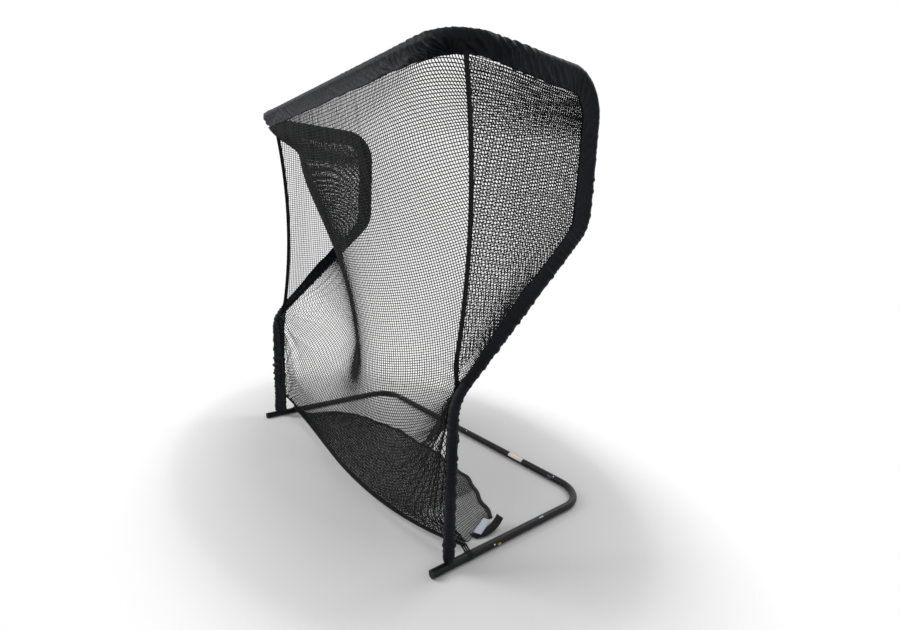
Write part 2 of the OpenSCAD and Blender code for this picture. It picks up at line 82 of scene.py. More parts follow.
def add(tree, kind, inputs=None, stops=(), **settings):
    """Adds a node with its inputs and options; stops are a colour ramp's places and hex colours."""
    made = tree.nodes.new(kind)
    for key, value in settings.items():
        setattr(made, key, value)
    give(tree, made, inputs or {})
    if stops:
        band = made.color_ramp.elements
        while len(band) < len(stops):
            band.new(0.5)
        for element, (place, code) in zip(band, stops):
            element.position, element.color = place, linear(code)
    return made


def blank_material(name):
    """A new material with its node tree, its shader and the coordinates that its patterns can follow."""
    made = bpy.data.materials.new(name)
    made.use_nodes = True
    tree = made.node_tree
    return made, tree, tree.nodes["Principled BSDF"], add(tree, "ShaderNodeTexCoord").outputs


def seen_directly(tree):
    """1 where the camera sees a thing itself, in a shine or through glass; 0 for the light that it throws."""
    ray = add(tree, "ShaderNodeLightPath").outputs
    either = add(tree, "ShaderNodeMath", {0: ray["Is Camera Ray"], 1: ray["Is Glossy Ray"]}, operation="MAXIMUM")
    return add(tree, "ShaderNodeMath", {0: either.outputs[0], 1: ray["Is Transmission Ray"]},
               operation="MAXIMUM").outputs[0]


floor_size = 60.0
floor_mesh = bpy.data.meshes.new("floor")
floor_mesh.from_pydata([(x * floor_size, y * floor_size, 0) for x, y in ((-1, -1), (1, -1), (1, 1), (-1, 1))], [],
                       [(0, 1, 2, 3)])
floor = bpy.data.objects.new("floor", floor_mesh)
scene.collection.objects.link(floor)
floor_paint_and_painted_shadow, tree, shader, follow = blank_material("matt_floor_paint")
# Matt paint with hardly any shine; where the camera sees it far out, it gives way to plain white.
place = add(tree, "ShaderNodeMapping",
            {"Vector": follow["Object"], "Location": (0.05, 0.07, 0), "Scale": (0.44, 0.66, 1)})
painted_shadow_gradient = add(tree, "ShaderNodeTexGradient", {"Vector": place.outputs[0]}, gradient_type="SPHERICAL")
# Painted shadow: the floor's colour turns grey toward the net's base, standing in for the shade that the net casts.
painted_shadow_tone = add(tree, "ShaderNodeValToRGB", {"Fac": painted_shadow_gradient.outputs["Fac"]},
            ((0.06, "#ffffff"), (0.2, "#f4f4f4"), (0.28, "#e8e8e8"), (0.38, "#e0e0e0"), (0.55, "#d4d4d4")))
give(tree, shader, {"Base Color": painted_shadow_tone.outputs["Color"], "Roughness": 0.9, "Specular IOR Level": 0.1})
far_out = add(tree, "ShaderNodeMapRange", {"Value": painted_shadow_gradient.outputs["Fac"], "From Min": 0.24, "From Max": 0.0})
white = add(tree, "ShaderNodeMath", {0: seen_directly(tree), 1: far_out.outputs[0]}, operation="MULTIPLY")
blend = add(tree, "ShaderNodeMixShader", {0: white.outputs[0], 1: shader.outputs[0],
                                          2: add(tree, "ShaderNodeEmission").outputs[0]})
give(tree, tree.nodes["Material Output"], {"Surface": blend.outputs[0]})
floor_mesh.materials.append(floor_paint_and_painted_shadow)

room_light, lamp_aim = 0.54, Vector((0, 0, 0.9))
scene.world = bpy.data.worlds.new("studio")
scene.world.use_nodes = True
tree = scene.world.node_tree
sky = add(tree, "ShaderNodeMapRange", {"Value": seen_directly(tree), "To Min": room_light, "To Max": 1.0})
give(tree, tree.nodes["Background"], {"Color": (1, 1, 1, 1), "Strength": sky.outputs[0]})
for name, at, size, watts in (("key_lamp", (-2.8, -4.0, 3.4), 3.0, 190),
                              ("fill_lamp", (3.4, -0.6, 4.2), 2.4, 8),
                              ("back_lamp", (0.6, 3.6, 4.0), 2.6, 60)):
    lamp = bpy.data.lights.new(name, "AREA")
    lamp.energy, lamp.size = watts, size
    holder = bpy.data.objects.new(name, lamp)
    scene.collection.objects.link(holder)
    holder.matrix_world = Matrix.Translation(at) @ (
        lamp_aim - Vector(at)).to_track_quat("-Z", "Y").to_matrix().to_4x4()

# Frame tubes
# Bent tubes of the base, the sides and the crossbar, each necked at one end and pushed into the next.
# Drawn aluminium tube with a baked black powder coat, which leaves a fine orange peel and a satin shine.
powder, tree, shader, follow = blank_material("black_powder_coat")
peel_mm, cloud_mm, scuff_mm = 1.4, 90, 25
cloud = add(tree, "ShaderNodeTexNoise", {"Vector": follow["Object"], "Scale": 1000 / cloud_mm, "Detail": 3.0})
colour = add(tree, "ShaderNodeValToRGB", {"Fac": cloud.outputs["Fac"]}, ((0.3, "#0d0e10"), (0.7, "#151618")))
scuff = add(tree, "ShaderNodeTexNoise", {"Vector": follow["Object"], "Scale": 1000 / scuff_mm, "Detail": 6.0,
                                         "Roughness": 0.7})
wear = add(tree, "ShaderNodeMapRange", {"Value": scuff.outputs["Fac"], "From Min": 0.35, "From Max": 0.75,
                                        "To Min": 0.28, "To Max": 0.46})
peel = add(tree, "ShaderNodeTexNoise", {"Vector": follow["Object"], "Scale": 1000 / peel_mm, "Detail": 1.0})
bump = add(tree, "ShaderNodeBump", {"Height": peel.outputs["Fac"], "Strength": 0.12, "Distance": 0.0003})
give(tree, shader, {"Base Color": colour.outputs["Color"], "Roughness": wear.outputs[0], "Normal": bump.outputs[0],
                    "Specular IOR Level": 0.2})
for name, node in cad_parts.items():
    if name.rsplit("_", 1)[0] in ("base_front", "base_corner", "base_rear", "upright", "rear_side", "upper_side",
                                  "top_corner", "crossbar"):
        node.material_slots[0].material = powder

# End caps
# Moulded polyethylene plugs with a rim, pushed into the open front ends of the base.
# The mould was spark-eroded, so the rim has a fine even grain.
cap_plastic, tree, shader, follow = blank_material("moulded_black_polyethylene")
grain_mm = 0.9
grain = add(tree, "ShaderNodeTexNoise", {"Vector": follow["Object"], "Scale": 1000 / grain_mm, "Detail": 2.0})
colour = add(tree, "ShaderNodeValToRGB", {"Fac": grain.outputs["Fac"]}, ((0.2, "#0b0c0d"), (0.8, "#151618")))
bump = add(tree, "ShaderNodeBump", {"Height": grain.outputs["Fac"], "Strength": 0.25, "Distance": 0.0002})
give(tree, shader, {"Base Color": colour.outputs["Color"], "Normal": bump.outputs[0], "Roughness": 0.55,
                    "Specular IOR Level": 0.25})
for side in ("left", "right"):
    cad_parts["end_cap_" + side].material_slots[0].material = cap_plastic

# Snap buttons and leaf springs
# Turned and plated steel buttons that stand out of the slip joints, each riveted to a bent spring leaf in the
# neck. The plating is bright with fine rub marks, the leaf is plain rolled spring steel.
plated, tree, shader, follow = blank_material("bright_plated_steel")
rub_mm, mill_mm = 1.2, 2.5
rub = add(tree, "ShaderNodeTexNoise", {"Vector": follow["Object"], "Scale": 1000 / rub_mm, "Detail": 4.0})
colour = add(tree, "ShaderNodeValToRGB", {"Fac": rub.outputs["Fac"]}, ((0.3, "#b9bcc0"), (0.7, "#d7d9dc")))
shine = add(tree, "ShaderNodeMapRange", {"Value": rub.outputs["Fac"], "To Min": 0.18, "To Max": 0.38})
give(tree, shader, {"Base Color": colour.outputs["Color"], "Roughness": shine.outputs[0], "Metallic": 1.0})
spring, tree, shader, follow = blank_material("plain_spring_steel")
mill = add(tree, "ShaderNodeTexNoise", {"Vector": follow["Object"], "Scale": 1000 / mill_mm, "Detail": 5.0})
colour = add(tree, "ShaderNodeValToRGB", {"Fac": mill.outputs["Fac"]}, ((0.3, "#777b80"), (0.7, "#9a9da1")))
give(tree, shader, {"Base Color": colour.outputs["Color"], "Roughness": 0.4, "Metallic": 1.0})
for name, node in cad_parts.items():
    if name.startswith("button_"):
        node.material_slots[0].material = plated
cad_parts["leaf_springs"].material_slots[0].material = spring

# Crossbar sleeve and side sleeves
# Pockets of coated nylon cloth around the top and side tubes, with a flat skirt sewn shut toward the net.
# The cloth is cut long, so it lies in slanting pull folds at the corners and bunches up on the slopes.
tube_r = 0.01905
half_w = 1.04215
upright_y, bar_y, bar_z = -0.4445, -0.5125, 2.11315
bend_r = 0.18
kinks = [(upright_y, 0.755), (upright_y + 0.755, 1.46), (upright_y + 0.769, bar_z), (bar_y, bar_z)]
cloth_r = tube_r + 0.0018
bar_skirt, side_skirt, slope_skirt = 0.09715, 0.07415, 0.056
skirt_left, skirt_right, skirt_back = 0.083, 0.064, 0.088
tuck_in = 0.035
cloth_thick, skirt_half, snug_full = 0.0008, 0.0022, 0.0009
corner_lean, lean_reach, pull_reach = math.radians(30), 0.32, 0.75
full_turn = 6.283


def unit(v):
    """Directions of length 1."""
    return v / np.linalg.norm(v, axis=-1, keepdims=True)


def ease(t):
    """A soft step from 0 to 1."""
    t = np.clip(t, 0, 1)
    return t * t * (3 - 2 * t)


def mix(a, b, t):
    """The value that lies t of the way from a to b."""
    return a + (b - a) * t


def skirt_depth(x, y):
    """How far a top sleeve's skirt hangs: least at the right end of the crossbar, most at the back."""
    return mix(mix(skirt_left, skirt_right, (x / half_w + 1) / 2), skirt_back, ease((y - bar_y - bend_r) / 0.4))


def tape(points):
    """How far along a line each of its points lies."""
    return np.concatenate([[0], np.cumsum(np.linalg.norm(np.diff(points, axis=0), axis=1))])


def bent_path(corners, radius, step):
    """Points, unit directions and lengths along a polyline in space whose inner corners are rounded."""
    corners = [np.array(c, float) for c in corners]
    pts, last = [], corners[0]
    for before, here, after in zip(corners, corners[1:], corners[2:]):
        a, b = unit(here - before), unit(after - here)
        turn = math.acos(np.clip(a @ b, -1, 1))
        reach = radius * math.tan(turn / 2)
        start, middle = here - a * reach, here + unit(b - a) * radius / math.cos(turn / 2)
        n = max(2, int(np.linalg.norm(start - last) / step))
        pts += [last + (start - last) * i / n for i in range(n)]
        n = max(4, int(radius * turn / step))
        swing = unit(here - middle)
        for i in range(n):
            w = turn * (i / n - 0.5)
            pts.append(middle + radius * (swing * math.cos(w) + unit(a + b) * math.sin(w)))
        last = here + b * reach
    n = max(2, int(np.linalg.norm(corners[-1] - last) / step))
    pts += [last + (corners[-1] - last) * i / n for i in range(n + 1)]
    pts = np.array(pts)
    return pts, unit(np.gradient(pts, axis=0)), tape(pts)


def drift(x, seed):
    """A slow wandering value between about -1 and 1, the same each run."""
    some = np.random.default_rng(seed)
    return sum(math.pow(0.75, k) * np.sin(x * (0.9 + 0.83 * k) + some.uniform(0, 6.28)) for k in range(4)) / 2.2


def folds(s, t, spacing, skew, seed):
    """Ridges of cloth across a run: s along it and t across it; they come, go and wander."""
    wave = np.sin(full_turn * (s / spacing + skew * t) + 2.2 * drift(s / spacing * 0.8, seed)
                  + 1.3 * drift(t * 4, seed + 1))
    strength = 0.55 + 0.60 * drift(s / spacing * 0.45 + t * 2.5, seed + 2)
    return np.maximum(0, 0.25 + wave) ** 1.4 * np.maximum(0.05, strength)


def shell(name, rings, closed_ends=False):
    """A mesh of rings of points, joined ring to ring; every ring is closed round."""
    n, m = rings.shape[:2]
    faces = [(i * m + j, i * m + (j + 1) % m, (i + 1) * m + (j + 1) % m, (i + 1) * m + j)
             for i in range(n - 1) for j in range(m)]
    if closed_ends:
        faces += [tuple(range(m))[::-1], tuple((n - 1) * m + j for j in range(m))]
    mesh = bpy.data.meshes.new(name)
    mesh.from_pydata(rings.reshape(-1, 3).tolist(), [], faces)
    mesh.polygons.foreach_set("use_smooth", [True] * len(faces))
    layer = mesh.uv_layers.new(name="cut")
    steps, turns = tape(rings[:, 0]), tape(np.append(rings[n // 2], rings[n // 2, :1], 0))
    uv = np.zeros((len(mesh.loops), 2), np.float32)
    row = 0
    for i in range(n - 1):
        for j in range(m):
            uv[row:row + 4] = ((turns[j], steps[i]), (turns[j + 1], steps[i]),
                               (turns[j + 1], steps[i + 1]), (turns[j], steps[i + 1]))
            row += 4
    layer.data.foreach_set("uv", uv.ravel())
    mesh.validate()
    made = bpy.data.objects.new(name, mesh)
    scene.collection.objects.link(made)
    return made


nylon, tree, shader, follow = blank_material("coated_black_nylon_cloth")
# The coating gives a soft bluish shine along the folds; the plain weave is drawn at 1.6 mm, coarser than the
# real 0.3 mm threads, so that it shows at all.
weave_mm, crush_mm, tone_mm = 1.6, 28, 160


def wave_scale(mm):
    """The scale of a wave texture whose bands are so many millimetres apart."""
    return 1000 / mm / full_turn * 2


ribs = [add(tree, "ShaderNodeTexWave", {"Vector": follow["UV"], "Scale": wave_scale(weave_mm), "Distortion": 0.6},
            bands_direction=d).outputs["Fac"] for d in ("X", "Y")]
weave = add(tree, "ShaderNodeMath", {0: ribs[0], 1: ribs[1]}, operation="MULTIPLY")
crush = add(tree, "ShaderNodeTexNoise", {"Vector": follow["Object"], "Scale": 1000 / crush_mm, "Detail": 6.0,
                                         "Roughness": 0.62, "Distortion": 0.8})
tone = add(tree, "ShaderNodeTexNoise", {"Vector": follow["Object"], "Scale": 1000 / tone_mm, "Detail": 2.0})
colour = add(tree, "ShaderNodeValToRGB", {"Fac": tone.outputs["Fac"]}, ((0.3, "#0a0b0f"), (0.7, "#13151c")))
height = add(tree, "ShaderNodeMath", {0: weave.outputs[0], 1: 0.06, 2: crush.outputs["Fac"]},
             operation="MULTIPLY_ADD")
bump = add(tree, "ShaderNodeBump", {"Height": height.outputs[0], "Strength": 0.6, "Distance": 0.005})
give(tree, shader, {"Base Color": colour.outputs["Color"], "Normal": bump.outputs[0], "Roughness": 0.46,
                    "Specular IOR Level": 0.09, "Sheen Weight": 0.02, "Sheen Roughness": 0.4,
                    "Sheen Tint": linear("#8089a8")})
seam_lines, thread_proud = [], 0.0003


def pocket(name, path, inward, hang, skirt, corner, slant, bunching, snug, seed):
    """A cloth pocket round a path of tube. hang is the way its skirt points and inward the way it leans at the
    corner. By place along the path, skirt is its depth, corner the distance from the top corner, slant the way
    the pull folds run, bunching how gathered the cloth is and snug how far it is drawn in."""
    pts, along, s = path
    lean = corner_lean * ease(1 - corner / lean_reach)[:, None]
    seam = hang * np.cos(lean) + inward * np.sin(lean)
    flat = np.cross(along, seam)
    body, deep, loose = cloth_r - snug[:, None], skirt[:, None], bunching[:, None]
    # the outline of a ring, q toward the seam and w across it: up one wall, round the tube and down the other
    cells, ones = 14, np.ones(len(s))[:, None]
    down = np.linspace(1, 0, cells + 1)[:-1]
    girth = np.radians(np.linspace(90, 270, cells + 1))
    q = np.concatenate([deep * down, body * np.cos(girth), deep * down[::-1]], 1)
    side_w = np.maximum(skirt_half + (body - skirt_half) * (1 - down) ** 1.5,
                        np.sqrt(np.maximum(0, body ** 2 - (deep * down) ** 2)))
    w = np.concatenate([side_w, body * np.sin(girth), -side_w[:, ::-1]], 1)
    out_q = ones * np.concatenate([np.zeros(cells), np.cos(girth), np.zeros(cells)])
    out_w = ones * np.concatenate([np.ones(cells), np.sin(girth), -np.ones(cells)])
    far, fall = np.clip(q / deep, 0, 1), (q + body) / (deep + body)
    # the two walls fold apart from each other, most in the middle of the skirt and least over the tube
    face = np.where(w >= 0, 0.0, 3.7)
    slack = 0.24 + 2.4 * far * (1 - 0.75 * far)
    pulled = ease(1 - corner / pull_reach)[:, None]
    from_corner, from_start, leaned = corner[:, None] + face, s[:, None], fall * slant[:, None]
    # broad pull folds at the corner, finer ones between them, and gathers of the skirt
    lift = (0.0125 * folds(from_corner, leaned, 0.052, -2.3, seed) * (0.15 + 1.1 * pulled)
            + 0.0052 * folds(from_corner, leaned, 0.027, -2.6, seed + 7) * (0.15 + 0.9 * pulled)
            + 0.0034 * folds(from_start + face, far, 0.044, 0.6, seed + 13) * loose) * slack
    # rings round the tube where the cloth is pushed together
    rings_up = (0.0062 * folds(from_start, far * 0.4, 0.058, 0.25, seed + 21)
                + 0.0042 * folds(from_start, far * 0.6, 0.031, -0.5, seed + 27))
    lift = (lift + rings_up * loose * (1 - 0.6 * far)) * (1 - np.clip(snug / snug_full, 0, 1))[:, None]
    hem = 0.004 * drift(s / 0.07, seed + 31)[:, None] * far ** 3
    rings = (pts[:, None] + seam[:, None] * (q + out_q * lift + hem)[..., None]
             + flat[:, None] * (w + out_w * lift)[..., None])
    made = shell(name, rings)
    wall = made.modifiers.new("cloth", "SOLIDIFY")
    wall.thickness, wall.offset = cloth_thick, -1
    made.data.materials.append(nylon)
    seam_lines.extend((rings[:, 1] + flat * thread_proud, rings[:, -2] - flat * thread_proud))
    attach(made, "frame")
    return made


bar_path = bent_path([(-half_w, bar_y + bend_r + tuck_in, bar_z), (-half_w, bar_y, bar_z), (half_w, bar_y, bar_z),
                      (half_w, bar_y + bend_r + tuck_in, bar_z)], bend_r - 0.0005, 0.005)
n, long = len(bar_path[2]), bar_path[2][-1]
from_end = np.minimum(bar_path[2], long - bar_path[2])
half_bend = bend_r * math.pi / 4
past_middle = ease((bar_path[2] - long / 2) / 0.4 + 0.5)
past_corner = ease((bar_path[2] - long + tuck_in + half_bend) / 0.08 + 0.5)
crossbar_sleeve = pocket("crossbar_sleeve_cloth", bar_path, np.cross((0, 0, 1), bar_path[1]),
                         np.array([[0.0, 0.0, -1.0]]), skirt_depth(bar_path[0][:, 0], bar_path[0][:, 1]),
                         np.abs(from_end - tuck_in - half_bend), 1 - 2 * past_middle * (1 - past_corner),
                         0.05 + 0.14 * ease(1 - from_end / 0.6), np.zeros(n), 3)
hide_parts("crossbar_sleeve")

slope = unit(np.subtract(kinks[1], kinks[0]))
rear = unit(np.subtract(kinks[2], kinks[1]))
rear_turn = math.acos(slope @ rear)
slope_start = np.array(kinks[0]) + slope * (bend_r * math.tan(rear_turn / 2) + 0.03)
sleeve_foot = slope_start - slope * 0.025
for side, sign, seed in (("left", -1, 101), ("right", 1, 151)):
    corners = [sleeve_foot, kinks[1], kinks[2], (bar_y + bend_r + 0.002, bar_z)]
    path = bent_path([(sign * half_w, y, z) for y, z in corners], bend_r, 0.005)
    pts, along, s = path
    hang = np.stack([0 * s, -along[:, 2], along[:, 1]], 1)
    to_front = s[-1] - s
    skirt = mix(0.027, slope_skirt, ease(s / 0.42))
    skirt = mix(skirt, skirt_back, ease((s - 0.75) / 0.3))
    skirt = np.where(to_front < 0.45, skirt_depth(sign * half_w, pts[:, 1]), skirt)
    bunching = 0.12 + 0.5 * ease(1 - (s - 0.45) / 0.6) + 0.4 * ease(1 - np.abs(s - 1.0) / 0.5)
    cloth = pocket(f"side_sleeve_{side}_cloth", path, np.array([[-sign, 0.0, 0.0]]), hang,
                   skirt, to_front + half_bend, np.ones(len(s)), bunching, 0.00095 * ease(1 - to_front / 0.045),
                   seed)
    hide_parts("side_sleeve_" + side)
    skirt_edge = (pts + hang * (skirt - 0.004 - 0.016 * ease(1 - to_front / 0.35))[:, None])[:, 1:]

# Upright sleeves
# Pockets of the same coated cloth, cut far too long, so they sit on the uprights in gathered rings. Their skirts
# point in and back along the net's edge, and the upper end lies under the side sleeve.
sleeve_low, post_button_z = 0.046, 0.097
for side, sign, bunched, seed in (("left", -1, 0.95, 211), ("right", 1, 0.8, 251)):
    top = sleeve_foot + slope * 0.03
    path = bent_path([(sign * half_w, upright_y, sleeve_low), (sign * half_w, *kinks[0]), (sign * half_w, *top)],
                     bend_r, 0.004)
    pts, along, s = path
    to_net = np.array([[-sign * 0.92, 0.39, 0.0]])
    hang = unit(to_net - (along @ to_net[0])[:, None] * along)
    to_top = s[-1] - s
    skirt = mix(0.082, 0.060, ease(s / 0.2)) * ease(to_top / 0.12) + 0.026
    skirt = np.minimum(skirt, 0.078)
    snug = snug_full * ease(1 - to_top / 0.05) - 0.0034 * np.exp(-((pts[:, 2] - post_button_z) / 0.02) ** 2)
    no_corner = np.full(len(s), 5.0)
    cloth = pocket(f"upright_sleeve_{side}_cloth", path, 0 * hang, hang, skirt, no_corner,
                   np.ones(len(s)), np.full(len(s), bunched), snug, seed)
    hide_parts("upright_sleeve_" + side)

# Main net
# Square knotless netting of black polyester cord. It hangs from the crossbar sleeve, is drawn back to the rear
# sleeves at the sides, bags out behind on both sides of the middle and comes forward to its edge on the floor.
cord_r, net_cell = 0.0023, 0.0145
soft_gap, strand_half = 0.0004, 0.0012
top_z = bar_z - bar_skirt - 0.0007
hem_z, hem_y, foot_y, hem_lean = 0.030, upright_y + 0.024, upright_y + 0.112, 0.080
belly, cheek, bunch_z = 0.174, 0.233, 0.80
chance, knot_stray = np.random.default_rng(11), 0.0003
bend_centres = []
for before, here, after in zip(kinks, kinks[1:], kinks[2:]):
    a, b = unit(np.subtract(here, before)), unit(np.subtract(after, here))
    reach = bend_r * math.tan(math.acos(a @ b) / 2)
    bend_centres.append(np.array(here) - a * reach + bend_r * np.array([-a[1], a[0]]))


def edge_y(q, z):
    """Where a side sleeve's line, q inside the tube's axis, stands at height z."""
    rear_bend, top_bend = bend_centres

    def arc(centre):
        return centre[0] + np.sqrt(np.maximum(0, (bend_r - q) ** 2 - (z - centre[1]) ** 2))

    on_slope = kinks[0][0] - q * slope[1] + (z - kinks[0][1] - q * slope[0]) * slope[0] / slope[1]
    on_rear = kinks[1][0] - q * rear[1] + (z - kinks[1][1] - q * rear[0]) * rear[0] / rear[1]
    low = rear_bend[1] - (bend_r - q) * slope[0]
    lower = np.where(z > low, arc(rear_bend), on_slope)
    return np.where(z > top_bend[1], arc(top_bend), np.where(z > rear_bend[1], on_rear, lower))


def seam_q(z):
    """How far inside the tube's axis the net is sewn to a side sleeve."""
    return (side_skirt - 0.002) * ease((z - kinks[1][1] + 0.22) / 0.28)


def side_y(z):
    """How far back the net's side edge stands at height z."""
    return np.where(z > kinks[0][1], edge_y(seam_q(z), z), mix(foot_y, upright_y, ease((z - 0.05) / 0.2)))


def side_x(z):
    """How far out the net's side edge stands at height z, against the flank of the sleeve."""
    flank = mix(cloth_r, skirt_half, seam_q(z) / side_skirt)
    return half_w - soft_gap - strand_half - np.where(seam_q(z) > 0, flank, tube_r + 0.0058)


def arch(x, power):
    """A curve from 0 up to 1 and down again."""
    return np.maximum(0, np.sin(math.pi * x)) ** power


def net_at(u, v):
    """The hanging net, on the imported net's curve: u from -1 to 1 across, v from 0 at the crossbar to 1 in front."""
    h, s = np.maximum(0, 1 - v) ** 1.12, np.abs(u)
    mid_z = hem_z + (top_z - hem_z) * h
    mid_y = mix(hem_y, bar_y, h) + belly * arch(h ** 0.625, 1.4)
    sag = 0.318 * arch(np.minimum(1, h / 0.8) ** 0.6, 1.5) + 0.03 * (1 - h)
    side_z = np.minimum(mid_z + sag, top_z)
    t = ease((side_z - kinks[0][1]) / (kinks[1][1] + 0.36 - kinks[0][1]))
    power = mix(1.74, 4.05, t) + 25 * np.clip((h - 0.9) / 0.1, 0, 1) ** 3
    bag = 6.4 * s * s * np.maximum(0, 1 - s * s) ** 1.87 * cheek * (1 - t) * ease((side_z - 0.45) / 0.54)
    lean = hem_lean * u * (1 - s * s) * np.clip(1 - h / 0.25, 0, 1) ** 2
    y = mid_y + (side_y(side_z) - mid_y) * s ** power + bag - lean
    return np.stack([u * side_x(side_z), y, mid_z + (side_z - mid_z) * s ** 3.2], -1)


def gathered(u, v):
    """Where a cord comes to lie, because the net is bunched into pleats that fan out from its corners."""
    # at the right lower kink and the left front corner: how far they reach, how many in a turn, where they start
    for sign, corner_v, reach, pleats, turn in ((1, kink_v, 0.85, 52, 0.6), (-1, 0.985, 0.55, 40, 2.0)):
        a, b = (1 - sign * u) * net_half, (v - corner_v) * net_drop
        away, angle = np.hypot(a, b), np.arctan2(b, a)
        pull = 0.88 * ease(1.25 * (1 - away / reach)) * ease(away / 0.04) * np.clip(a / 0.04, 0, 1)
        angle = angle - pull * np.sin(pleats * angle + turn) / pleats
        u, v = sign * (1 - away * np.cos(angle) / net_half), corner_v + away * np.sin(angle) / net_drop
    return u, np.clip(v, 0, 1)


def net_skin(u, v):
    """The net as it is sewn in: bunched at its corners, drawn up to the edges of the skirts, and creased."""
    u, v = gathered(u, v)
    at, step = net_at(u, v), 0.001
    facing = unit(np.cross(net_at(u + step, v) - net_at(u - step, v), net_at(u, v + step) - net_at(u, v - step)))
    in_bend, overlap = 0.053, 0.006
    off_corner = np.hypot(np.abs(at[..., 0]) - half_w + in_bend, at[..., 1] - bar_y - in_bend)
    reach = skirt_depth(at[..., 0], at[..., 1]) * np.cos(corner_lean * ease(1 - off_corner / lean_reach))
    at[..., 2] += (bar_skirt - reach + overlap) * ease(1 - v / 0.09)
    # creases that fan out from the lower kinks and the front corners
    for sign, seed in ((-1, 31), (1, 37)):
        for centre, reach, ridges, depth in (((sign * 1.015, upright_y, bunch_z), 0.62, 24, 0.014),
                                             ((sign * 1.0, foot_y, 0.03), 0.40, 18, 0.005)):
            off = at - np.array(centre)
            away, angle = np.linalg.norm(off, axis=-1), np.arctan2(off[..., 2], -sign * off[..., 0])
            fan = np.sin(ridges * angle + 1.4 * drift(angle * 3, seed)) + 0.5 * np.sin(1.7 * ridges * angle + seed)
            fan *= depth * ease(1 - away / reach) * ease(away / 0.12) * np.minimum(1, (1 - np.abs(u)) / 0.05)
            at = at + facing * fan[..., None]
    return at


def line_tree(name, *inputs):
    """A geometry node tree with named inputs: the tree, its sockets' identifiers, and what comes in."""
    tree = bpy.data.node_groups.new(name, "GeometryNodeTree")
    sockets = {}
    for label, kind in (("Geometry", "Geometry"), *inputs, ("Material", "Material")):
        made = tree.interface.new_socket(label, in_out="INPUT", socket_type="NodeSocket" + kind)
        sockets[label] = made.identifier
    tree.interface.new_socket("Geometry", in_out="OUTPUT", socket_type="NodeSocketGeometry")
    return tree, sockets, add(tree, "NodeGroupInput").outputs


def end_tree(tree, given, shape):
    """The tree's end: one real mesh in the material that was given."""
    real = add(tree, "GeometryNodeRealizeInstances", {"Geometry": shape.outputs[0]})
    dyed = add(tree, "GeometryNodeSetMaterial", {"Geometry": real.outputs[0], "Material": given["Material"]})
    add(tree, "NodeGroupOutput", {0: dyed.outputs[0]})


cord_tree, cord_sockets, given = line_tree("cords_along_lines", ("Cord radius", "Float"), ("Cord sides", "Int"))
line = add(cord_tree, "GeometryNodeMeshToCurve", {"Mesh": given["Geometry"]})
ring = add(cord_tree, "GeometryNodeCurvePrimitiveCircle",
           {"Resolution": given["Cord sides"], "Radius": given["Cord radius"]})
swept = add(cord_tree, "GeometryNodeCurveToMesh",
            {"Curve": line.outputs[0], "Profile Curve": ring.outputs[0], "Fill Caps": True})
end_tree(cord_tree, given, add(cord_tree, "GeometryNodeSetShadeSmooth", {"Geometry": swept.outputs[0]}))


def along_lines(name, lines, nodes, inputs):
    """A piece that a geometry node tree makes along lines of points, turned into its own plain mesh."""
    points, edges, first = [], [], 0
    for some in lines:
        points.append(some)
        edges += [(first + i, first + i + 1) for i in range(len(some) - 1)]
        first += len(some)
    mesh = bpy.data.meshes.new(name)
    mesh.from_pydata(np.concatenate(points).tolist(), edges, [])
    made = bpy.data.objects.new(name, mesh)
    scene.collection.objects.link(made)
    step = made.modifiers.new("along_lines", "NODES")
    step.node_group = nodes
    for socket, value in inputs.items():
        step[socket] = value
    mesh = bpy.data.meshes.new_from_object(made.evaluated_get(bpy.context.evaluated_depsgraph_get()))
    made.modifiers.clear()
    made.data, mesh.name = mesh, name
    return made


def netting(name, lines, radius):
    """A piece of netting: three-sided cords along the lines, on the frame."""
    made = along_lines(name, lines, cord_tree, {cord_sockets["Cord radius"]: radius, cord_sockets["Cord sides"]: 3,
                                                cord_sockets["Material"]: twine})
    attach(made, "frame")
    return made


twine, tree, shader, follow = blank_material("black_polyester_netting_cord")
# Dull dyed filament with a slight oily shine; the twist shows as fine flecks along each cord.
twist_mm = 3.0
twist = add(tree, "ShaderNodeTexNoise", {"Vector": follow["Object"], "Scale": 1000 / twist_mm, "Detail": 2.0})
colour = add(tree, "ShaderNodeValToRGB", {"Fac": twist.outputs["Fac"]}, ((0.3, "#060708"), (0.7, "#101113")))
bump = add(tree, "ShaderNodeBump", {"Height": twist.outputs["Fac"], "Strength": 0.4, "Distance": 0.0008})
give(tree, shader, {"Base Color": colour.outputs["Color"], "Normal": bump.outputs[0], "Roughness": 0.6,
                    "Specular IOR Level": 0.15})

# The cords run as the netting was hung: rows along the crossbar at the top that rise toward the sides lower down
# and are bunched together at the lower kinks of the side tubes, and columns 18% fuller along the crossbar.
row_rise, fullness, bunch = 0.25, 0.18, 0.5
vs, us = np.linspace(0, 1, 401), np.linspace(-1, 1, 601)
V, U = np.meshgrid(vs, us, indexing="ij")
laid_out = net_at(U, V)
middle = len(us) // 2
down = tape(laid_out[:, middle])
across = np.array([tape(row) for row in laid_out])
across -= across[:, middle:middle + 1]
row_of = down[:, None] + row_rise * U ** 2 * ease(down / 0.2)[:, None]
column_of = across * (1 + fullness * (1 - ease(down / 0.75)))[:, None]
rows = np.arange(1, int(row_of.max() / net_cell) + 1) * net_cell
columns = np.arange(-int(column_of.max() / net_cell), int(column_of.max() / net_cell) + 1) * net_cell
row_v = np.array([np.interp(rows, row_of[:, i], vs, right=np.nan) for i in range(len(us))])
column_u = np.array([np.interp(columns, column_of[i], us, left=np.nan, right=np.nan) for i in range(len(vs))])
kink_v = np.interp(-bunch_z, -laid_out[:, -1, 2], vs)
net_half, net_drop = across[:, -1].mean(), down[-1]
off = row_v - kink_v
row_v = row_v - off * bunch * ease((np.abs(us)[:, None] - 0.62) / 0.38) * ease(1 - np.abs(off) / 0.13)
cords = [np.stack([us, row_v[:, k]], 1) for k in range(len(rows))]
cords += [np.stack([column_u[:, k], vs], 1) for k in range(len(columns))]
cords += [np.stack([us, us * 0 + end], 1) for end in (0, 1)]
